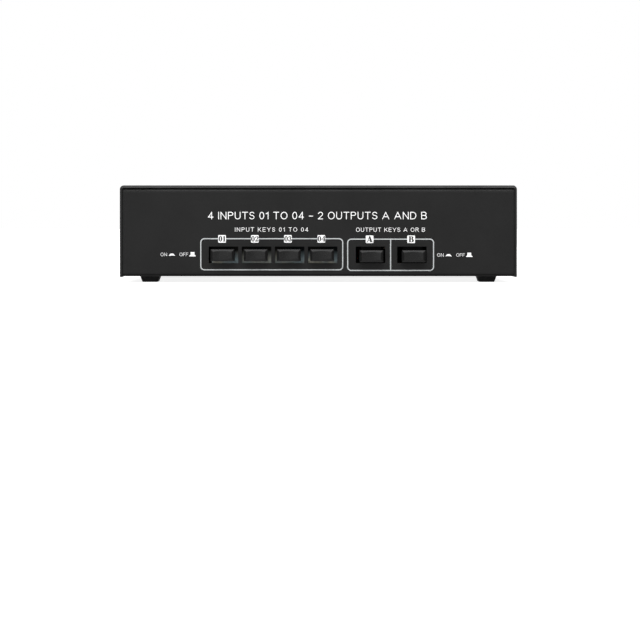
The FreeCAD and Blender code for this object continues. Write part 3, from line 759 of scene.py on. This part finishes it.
# Centre lines of the plain letters and figures, one unit high: each has a width and its strokes.
CAPITALS = {
    " ": (0.14, []),
    "A": (0.84, [[(0, 0), (0.42, 1)], [(0.42, 1), (0.84, 0)], [(0.14, 0.33), (0.70, 0.33)]]),
    "B": (0.64, [STEM, UPPER_BOWL, [(0.30, 0.52), *bow(0.36, 0.26, 0.28, 0.26, 90, -90), (0, 0)]]),
    "D": (0.70, [STEM, [(0, 1), *bow(0.28, 0.5, 0.42, 0.5, 90, -90, 16), (0, 0)]]),
    "E": (0.58, [STEM, [(0, 1), (0.58, 1)], [(0, 0.53), (0.53, 0.53)], [(0, 0), (0.58, 0)]]),
    "F": (0.54, [STEM, [(0, 1), (0.54, 1)], [(0, 0.52), (0.47, 0.52)]]),
    "G": (0.76, [[*bow(0.39, 0.5, 0.39, 0.5, 38, 340, 20), (0.76, 0.44), (0.46, 0.44)], [(0.76, 0.44), (0.76, 0)]]),
    "H": (0.68, [STEM, [(0.68, 0), (0.68, 1)], [(0, 0.52), (0.68, 0.52)]]),
    "I": (0.0, [STEM]),
    "K": (0.68, [STEM, [(0.64, 1), (0, 0.36)], [(0.23, 0.59), (0.68, 0)]]),
    "L": (0.52, [STEM, [(0, 0), (0.52, 0)]]),
    "N": (0.68, [STEM, [(0, 1), (0.68, 0)], [(0.68, 0), (0.68, 1)]]),
    "O": (0.80, [bow(0.40, 0.5, 0.40, 0.5, 0, 360, 28)]),
    "P": (0.60, [STEM, UPPER_BOWL]),
    "R": (0.64, [STEM, UPPER_BOWL, [(0.36, 0.52), (0.64, 0)]]),
    "S": (0.58, [[*bow(0.29, 0.76, 0.27, 0.24, 20, 265, 12), *bow(0.29, 0.26, 0.29, 0.26, 85, -165, 12)]]),
    "T": (0.66, [[(0.33, 0), (0.33, 1)], [(0, 1), (0.66, 1)]]),
    "U": (0.66, [[(0, 1), *bow(0.33, 0.32, 0.33, 0.32, 180, 360, 12), (0.66, 1)]]),
    "Y": (0.76, [[(0, 1), (0.38, 0.44)], [(0.76, 1), (0.38, 0.44)], [(0.38, 0.44), (0.38, 0)]]),
    "0": (0.54, [bow(0.27, 0.5, 0.27, 0.5, 0, 360, 24)]),
    "1": (0.26, [[(0, 0.76), (0.26, 0.94)], [(0.26, 0), (0.26, 1)]]),
    "2": (0.56, [[*bow(0.28, 0.72, 0.27, 0.28, 165, -35, 12), (0, 0)], [(0, 0), (0.56, 0)]]),
    "3": (0.56, [[*bow(0.27, 0.76, 0.24, 0.24, 160, -80, 10), *bow(0.27, 0.27, 0.29, 0.27, 80, -160, 12)]]),
    "4": (0.60, [[(0.43, 0), (0.43, 1)], [(0.43, 1), (0, 0.27)], [(0, 0.27), (0.60, 0.27)]]),
    "-": (0.46, [[(0, 0.42), (0.46, 0.42)]]),
}
# Outlines of the fat serif letters and figures, one unit high: each has a width and its closed loops.
SERIFS = {
    "A": (0.94, [[(0, 0), (0.30, 0), (0.30, 0.06), (0.19, 0.07), (0.25, 0.26), (0.50, 0.26), (0.56, 0.07),
                  (0.46, 0.06), (0.46, 0), (0.94, 0), (0.94, 0.06), (0.85, 0.07), (0.55, 1.02), (0.41, 1.02),
                  (0.11, 0.07), (0, 0.06)], [(0.27, 0.33), (0.48, 0.33), (0.385, 0.68)]]),
    "B": (0.80, [[(0, 0), *bow(0.46, 0.27, 0.34, 0.27, -90, 62), *bow(0.43, 0.76, 0.29, 0.24, -60, 90), (0, 1),
                  (0, 0.94), (0.10, 0.92), (0.10, 0.08), (0, 0.06)],
                 [(0.34, 0.94), (0.34, 0.56), *bow(0.38, 0.75, 0.10, 0.19, -90, 90)],
                 [(0.34, 0.49), (0.34, 0.06), *bow(0.40, 0.275, 0.13, 0.215, -90, 90)]]),
    "0": (0.74, [bow(0.37, 0.5, 0.37, 0.52, 0, 350, 30), bow(0.37, 0.5, 0.105, 0.43, 0, 348, 24)]),
    "1": (0.60, [[(0.04, 0), (0.60, 0), (0.60, 0.06), (0.46, 0.09), (0.46, 1.02), (0.38, 1.02), (0.04, 0.88),
                  (0.04, 0.82), (0.19, 0.84), (0.19, 0.09), (0.04, 0.06)]]),
    "2": (0.72, [[(0, 0), (0.66, 0), (0.72, 0.32), (0.66, 0.32), (0.58, 0.20), (0.26, 0.20), (0.46, 0.36),
                  *bow(0.36, 0.72, 0.34, 0.30, -38, 170, 14), (0.05, 0.62), (0.20, 0.60), (0.27, 0.70),
                  (0.23, 0.84), *bow(0.34, 0.73, 0.11, 0.23, 110, -30), (0.30, 0.38), (0, 0.12)]]),
    "3": (0.70, [[*bow(0.34, 0.27, 0.36, 0.29, -170, 58, 14), *bow(0.33, 0.77, 0.31, 0.25, -52, 165, 14),
                  (0.06, 0.70), (0.20, 0.68), (0.27, 0.78), (0.25, 0.88), *bow(0.33, 0.77, 0.10, 0.18, 105, -90),
                  (0.22, 0.58), (0.22, 0.52), *bow(0.33, 0.275, 0.12, 0.235, 90, -105), (0.27, 0.16),
                  (0.29, 0.30), (0.16, 0.40), (0.03, 0.34)]]),
    "4": (0.76, [[(0.38, 0), (0.74, 0), (0.74, 0.06), (0.67, 0.08), (0.67, 0.24), (0.76, 0.24), (0.76, 0.34),
                  (0.67, 0.34), (0.67, 1.02), (0.50, 1.02), (0, 0.34), (0, 0.24), (0.42, 0.24), (0.42, 0.08),
                  (0.38, 0.06)], [(0.10, 0.34), (0.42, 0.34), (0.42, 0.78)]]),
}


def bars(paths, width):
    """Raised bars of one width along paths of (x, z) points; a path that ends where it starts is a ring."""
    bm = bmesh.new()
    for i, path in enumerate(paths):
        points = [Vector((x, -STROKE_STEP * (i % 5), z)) * MM for x, z in path]
        ring = (points[0] - points[-1]).length < 0.001 * MM
        if ring:
            points.pop()
        else:
            points[0] += (points[0] - points[1]).normalized() * width * MM / 2
            points[-1] += (points[-1] - points[-2]).normalized() * width * MM / 2
        corners = [bm.verts.new(point) for point in points]
        for pair in zip(corners, corners[1:] + corners[:1] * ring):
            bm.edges.new(pair)
    tops = extruded(bm, bm.edges[:])
    bmesh.ops.translate(bm, vec=(0, -2 * INK_HEIGHT * MM, 0), verts=tops)
    move(bm, (0, INK_HEIGHT * MM, 0))
    bmesh.ops.recalc_face_normals(bm, faces=bm.faces)
    return shaped(bm, "SOLIDIFY", thickness=width * MM, offset=0.0, use_even_offset=True)


def patches(loops):
    """Raised flat shapes from closed loops of (x, z) points; a loop inside another is a hole."""
    curve = bpy.data.curves.new("patches", "CURVE")
    curve.dimensions, curve.fill_mode, curve.extrude = "2D", "BOTH", INK_HEIGHT * MM
    for loop in loops:
        spline = curve.splines.new("POLY")
        spline.points.add(len(loop) - 1)
        for point, (x, z) in zip(spline.points, loop):
            point.co = (x * MM, z * MM, 0, 1)
        spline.use_cyclic_u = True
    thing = linked("patches", curve)
    bpy.context.view_layer.update()
    mesh = bpy.data.meshes.new_from_object(thing)
    discard(thing)
    bm = taken_up(mesh)
    bmesh.ops.remove_doubles(bm, verts=bm.verts, dist=0.0005 * MM)
    rotate(bm, pi / 2, "X")
    return bm


def printed(name, bm, ink, rear=False, lift=0.0):
    """Lay a legend on the front or the rear panel."""
    move(bm, (0, -lift * MM, 0))
    if rear:
        rotate(bm, pi, "Z")
    move(bm, (0, rear_y if rear else front_y, case_bottom))
    bmesh.ops.recalc_face_normals(bm, faces=bm.faces)
    new_piece(name, bm, ink)


def lettering(name, words, x, z, width, height, rear=False, *, weight, slant=0.0, ink=white_ink):
    """Plain capitals that fill a width and a height, centred on a point; the spacing takes up the rest."""
    line = height * weight / (1 + weight)
    tall, stretch = height - line, 1.12
    glyphs = [CAPITALS[letter] for letter in words]
    gap = (width - line - tall * stretch * sum(glyph[0] for glyph in glyphs)) / (len(words) - 1)
    pen, paths = x - (width - line) / 2, []
    for letter_width, strokes in glyphs:
        paths += [[(pen + tall * stretch * px, z + tall * (pz - 0.5)) for px, pz in stroke] for stroke in strokes]
        pen += tall * stretch * letter_width + gap
    bm = bars(paths, line)
    low, high = (z - height / 2) * MM, (z + height / 2) * MM
    for v in bm.verts:
        v.co.z = min(max(v.co.z, low), high)
        v.co.x += slant * (v.co.z - z * MM)
    printed(name, bm, ink, rear)


def serif_lettering(name, words, x, z, height, ink, rear=False, lift=0.0, squeeze=1.0):
    """Fat serif capitals and figures of one height, centred on a point."""
    space = 0.07
    glyphs = [SERIFS[letter] for letter in words]
    wide = sum(glyph[0] for glyph in glyphs) + space * (len(words) - 1)
    pen, loops = -wide / 2, []
    for letter_width, outline in glyphs:
        loops += [[(x + height * squeeze * (pen + px), z + height * (pz - 0.5)) for px, pz in loop] for loop in outline]
        pen += letter_width + space
    printed(name, patches(loops), ink, rear, lift)


def rounded(x0, x1, z0, z1, radius, steps=6):
    """Points round a rectangle with round corners."""
    corners = ((x1 - radius, z1 - radius, 0), (x0 + radius, z1 - radius, 90), (x0 + radius, z0 + radius, 180),
               (x1 - radius, z0 + radius, 270))
    return [point for x, z, start in corners for point in arc(x, z, radius, start, start + 90, steps)]


def looped(points):
    """A path that ends where it starts."""
    return points + points[:1]


def circle(x, z, radius):
    return looped(arc(x, z, radius, 0, 354, 59))


def front_legends():
    """Title, captions, frame lines, number badges and the marks beside the keys."""
    line, corner, low, high, mark_height = 0.62, 2.2, 3.57, 22.5, 2.05
    lettering("front_title", "4 INPUTS 01 TO 04 - 2 OUTPUTS A AND B", -0.6, 36.75, 132.2, 4.5, weight=0.107)
    lettering("input_caption", "INPUT KEYS 01 TO 04", -28.3, 28.3, 44.3, 2.55, weight=0.115)
    lettering("output_caption", "OUTPUT KEYS A OR B", 43.6, 28.2, 41.7, 2.5, weight=0.115)
    printed("input_frame_line", bars([looped(rounded(-71.1, 14.7, 3.94, 22.76, corner))], line), line_ink)
    divider = [(43.65, low + line), (43.65, high - line)]
    printed("output_frame_line", bars([looped(rounded(17.7, 69.6, low, high, corner)), divider], line), line_ink)
    figures, letters = (3.25, 0.9), (3.6, 1.15)         # height and squeeze of the marks on the badges
    badges = [("01", -58.2, 22.7, figures), ("02", -38.4, 22.7, figures), ("03", -18.4, 22.7, figures),
              ("04", 1.8, 22.7, figures), ("A", 31.0, 22.46, letters), ("B", 56.1, 22.46, letters)]
    for mark, x, z, (height, squeeze) in badges:
        plate = patches([rounded(x - 2.35, x + 2.3, z - 2.35, z + 2.25, 0.45, 3)])
        printed(f"badge_{mark}", plate, white_ink, lift=BADGE_LIFT)
        serif_lettering(f"badge_mark_{mark}", mark, x, z, height, black_ink, lift=2 * BADGE_LIFT, squeeze=squeeze)
    pressed = [(-2.0, -0.85), (-0.7, -0.65), (0.7, -0.65), (2.0, -0.85), (1.5, -0.3), (0.75, 0.55), (-0.75, 0.55),
               (-1.5, -0.3)]
    raised = [(-2.0, -1.15), (2.0, -1.15), (1.9, -0.75), (1.25, -0.35), (1.15, 0.1), (1.15, 1.4), (-1.15, 1.4),
              (-1.15, 0.1), (-1.25, -0.35), (-1.9, -0.75)]
    for name, x, z in (("left", 0, 13.26), ("right", 167.3, 12.9)):
        for word, shift, width in (("on", -93.5, 3.9), ("off", -81.4, 5.2)):
            lettering(f"{word}_{name}", word.upper(), x + shift, z, width, mark_height, weight=0.10)
        for kind, shift, outline in (("in", -88.6, pressed), ("out", -76.1, raised)):
            shape = patches([[(x + shift + px, z + pz) for px, pz in outline]])
            printed(f"key_{kind}_mark_{name}", shape, white_ink)


def rear_legends():
    """One outlined cell for each group of four posts, with its ring, its name and its label box."""
    line, divider_line, ring_line, sign_line, label_line = 0.65, 0.9, 0.5, 0.75, 0.6
    bottom, top, corner, first_margin, last_margin = 3.26, 52.05, 2.6, 20.25, 22.05
    label_half, label_low, label_high, ring_z, ring_radius = 14.6, 1.3, 4.65, 28.3, 3.8
    plus_z, minus_z, sign_ring, arm = 41.1, 16.2, 1.85, 0.7
    centres = [-x / MM for x in reversed(group_x)]
    sides = [centres[0] - first_margin] + [(a + b) / 2 for a, b in zip(centres, centres[1:])]
    sides.append(centres[-1] + last_margin)
    for mark, x, left, right in zip(("B", "A", "04", "03", "02", "01"), centres, sides, sides[1:]):
        kind, ring_mark, row_mark = ("OUTPUT", 4.6, 3.4) if mark in "AB" else ("INPUT", 3.6, 3.0)
        corners = [arc(right - corner, top - corner, corner, 0, 90, 6)
                   + arc(left + corner, top - corner, corner, 90, 180, 6),
                   arc(left + corner, bottom + corner, corner, 180, 270, 6) + [(x - label_half, bottom)],
                   [(x + label_half, bottom)] + arc(right - corner, bottom + corner, corner, 270, 360, 6)]
        printed(f"cell_line_{mark}", bars(corners, line), line_ink, True)
        printed(f"cell_ring_{mark}", bars([circle(x, ring_z, ring_radius)], ring_line), line_ink, True)
        serif_lettering(f"cell_mark_{mark}", mark, x, ring_z, ring_mark, white_ink, True)
        serif_lettering(f"row_mark_{mark}", mark, x, 6.95, row_mark, white_ink, True)
        dots = patches([arc(x + side * 3.6, 6.8, 0.42, 0, 340, 17) for side in (-1, 1)])
        printed(f"row_dots_{mark}", dots, white_ink, True)
        for word, shift, width in (("right", -9.9, 6.8), ("left", 9.4, 6.4)):
            lettering(f"{word}_{mark}", word.upper(), x + shift, 6.35, width, 1.5, True, weight=0.20, slant=0.35,
                      ink=line_ink)
        box = rounded(x - label_half, x + label_half, label_low, label_high, 0.7)
        printed(f"label_line_{mark}", bars([looped(box)], label_line), line_ink, True)
        lettering(f"label_{mark}", f"{kind} GROUP {mark}", x, (label_low + label_high) / 2, 26.4, 2.1, True,
                  weight=0.19)
    stops = [bottom + corner, *[z + side * sign_ring for z in (minus_z, plus_z) for side in (-1, 1)], top - corner]
    uprights = [[(right, low + line / 2), (right, high - line / 2)] for low, high in zip(stops[::2], stops[1::2])]
    uprights.append([(sides[0], bottom + corner), (sides[0], top - corner)])
    printed("outer_uprights", bars(uprights, line), line_ink, True)
    dividers = [[(x, bottom + corner), (x, top - corner)] for x in sides[1:-1]]
    printed("divider_lines", bars(dividers, divider_line), line_ink, True)
    for name, z in (("plus", plus_z), ("minus", minus_z)):
        strokes = [[(right - arm, z), (right + arm, z)]] + [[(right, z - arm), (right, z + arm)]] * (name == "plus")
        printed(f"{name}_ring", bars([circle(right, z, sign_ring)], ring_line), white_ink, True)
        printed(f"{name}_sign", bars(strokes, sign_line), white_ink, True)


# -------------------- light, floor and camera
def seen_directly(tree):
    """1 for rays from the lens, off a gloss or through a clear material, 0 for the rest."""
    path = tree.nodes.new("ShaderNodeLightPath").outputs
    return larger(tree, path["Is Camera Ray"], larger(tree, path["Is Glossy Ray"], path["Is Transmission Ray"]))


def stage_pieces():
    """Pale floor that shows white to the camera and keeps the soft shadow."""
    white_share, sunk = 0.86, 0.05 * MM
    bm = bmesh.new()
    bmesh.ops.create_grid(bm, x_segments=1, y_segments=1, size=8)
    move(bm, (0, 0, -sunk))
    floor = linked("floor", mesh_of("floor", bm))
    material, tree, shader, _ = nodes_of("pale_floor")
    preset(shader, {"Base Color": (*grey(0.42), 1), "Roughness": 0.9, "Specular IOR Level": 0.1})
    glow = tree.nodes.new("ShaderNodeEmission")
    share = tree.nodes.new("ShaderNodeMath")
    share.operation = "MULTIPLY"
    share.inputs[1].default_value = white_share
    tree.links.new(seen_directly(tree), share.inputs[0])
    tree.links.new(share.outputs["Value"], glow.inputs["Strength"])
    both = tree.nodes.new("ShaderNodeAddShader")
    tree.links.new(shader.outputs["BSDF"], both.inputs[0])
    tree.links.new(glow.outputs["Emission"], both.inputs[1])
    tree.links.new(both.outputs["Shader"], tree.nodes["Material Output"].inputs["Surface"])
    floor.data.materials.append(material)


def world_light():
    """Studio that is dim round the horizon and bright overhead, and white to the camera."""
    world = bpy.data.worlds.new("studio")
    bpy.context.scene.world = world
    world.use_nodes = True
    tree = world.node_tree
    place = tree.nodes.new("ShaderNodeTexCoord")
    height = tree.nodes.new("ShaderNodeSeparateXYZ")
    tree.links.new(place.outputs["Generated"], height.inputs["Vector"])
    sky = span(tree, height.outputs["Z"], 0.08, 1.10, 0.05, 0.85)
    backdrop = tree.nodes["Background"]
    preset(backdrop, {"Color": (1, 1, 1, 1)})
    tree.links.new(larger(tree, sky, seen_directly(tree)), backdrop.inputs["Strength"])


def lamps():
    """Area lamps aimed at the middle of the case, unseen by the camera."""
    target = Vector((0, 0, 0.03))
    for name, place, width, height, power in (
            ("front_light", (-0.10, -0.85, 1.00), 1.1, 0.5, 12), ("rear_light", (0.25, 1.25, 0.45), 0.9, 0.5, 9),
            ("left_light", (-1.2, -0.2, 0.7), 0.6, 0.5, 4.2), ("right_light", (1.2, 0.2, 0.7), 0.6, 0.5, 4.2),
            ("top_light", (0, 0, 1.2), 1.2, 0.9, 4), ("front_strip", (0, -0.44, 1.02), 1.4, 0.22, 5.5),
            ("front_fill", (-0.25, -1.33, 0.18), 0.40, 0.30, 1.5)):
        light = bpy.data.lights.new(name, "AREA")
        light.shape, light.size, light.size_y, light.energy = "RECTANGLE", width, height, power
        thing = linked(name, light)
        thing.location = place
        thing.visible_camera = False
        thing.rotation_euler = (target - Vector(place)).to_track_quat("-Z", "Y").to_euler()


def camera():
    """Level camera square to the front panel; the shift puts the case where it stands in the frame."""
    distance, eye = 0.90, 0.036         # lens to the front edge of the cover, and its height
    frame_pixels, case_pixels, top_row, middle_column = 640, 397.2, 185.35, 318.4
    scale = case_pixels / (cover_high.x - cover_low.x)          # pixels per metre at the front edge
    data = bpy.data.cameras.new("camera")
    data.sensor_width = 36.0
    data.lens = scale * distance / frame_pixels * data.sensor_width
    data.shift_y = (top_row + (cover_high.z - eye) * scale - frame_pixels / 2) / frame_pixels
    data.shift_x = (frame_pixels / 2 - middle_column) / frame_pixels
    thing = linked("camera", data)
    thing.location = (0, cover_low.y - distance, eye)
    thing.rotation_euler = (pi / 2, 0, 0)
    bpy.context.scene.camera = thing


def carried_over_nodes():
    """Nodes whose own shape is right get their finish."""
    for material, nodes in (
            (frame_zinc, ["input_switch_frame"]), (zinc, ["interlock_bar", "board_standoffs", "board_screws"]),
            (nickel, ["terminal_nuts_and_tags"]), (housing_black, ["input_switch_bodies", "output_switch_bodies"]),
            (lacquer, ["switch_board"]), (red_pvc, ["red_wires"]), (black_pvc, ["black_wires"]),
            (acetal, [f"{kind}_plunger_{name}" for kind, name in KEYS])):
        for node in nodes:
            slots = frame["nodes"][node].data.materials
            slots.clear()
            slots.append(material)


def main():
    case_pieces()
    foot_pieces()
    screw_pieces()
    for kind, name in KEYS:
        key_piece(kind, name)
    spring_pieces()
    cap_pieces()
    stud_piece()
    base_piece()
    front_legends()
    rear_legends()
    carried_over_nodes()
    stage_pieces()
    world_light()
    lamps()
    camera()
    bpy.context.scene.view_settings.view_transform = "Standard"


main()
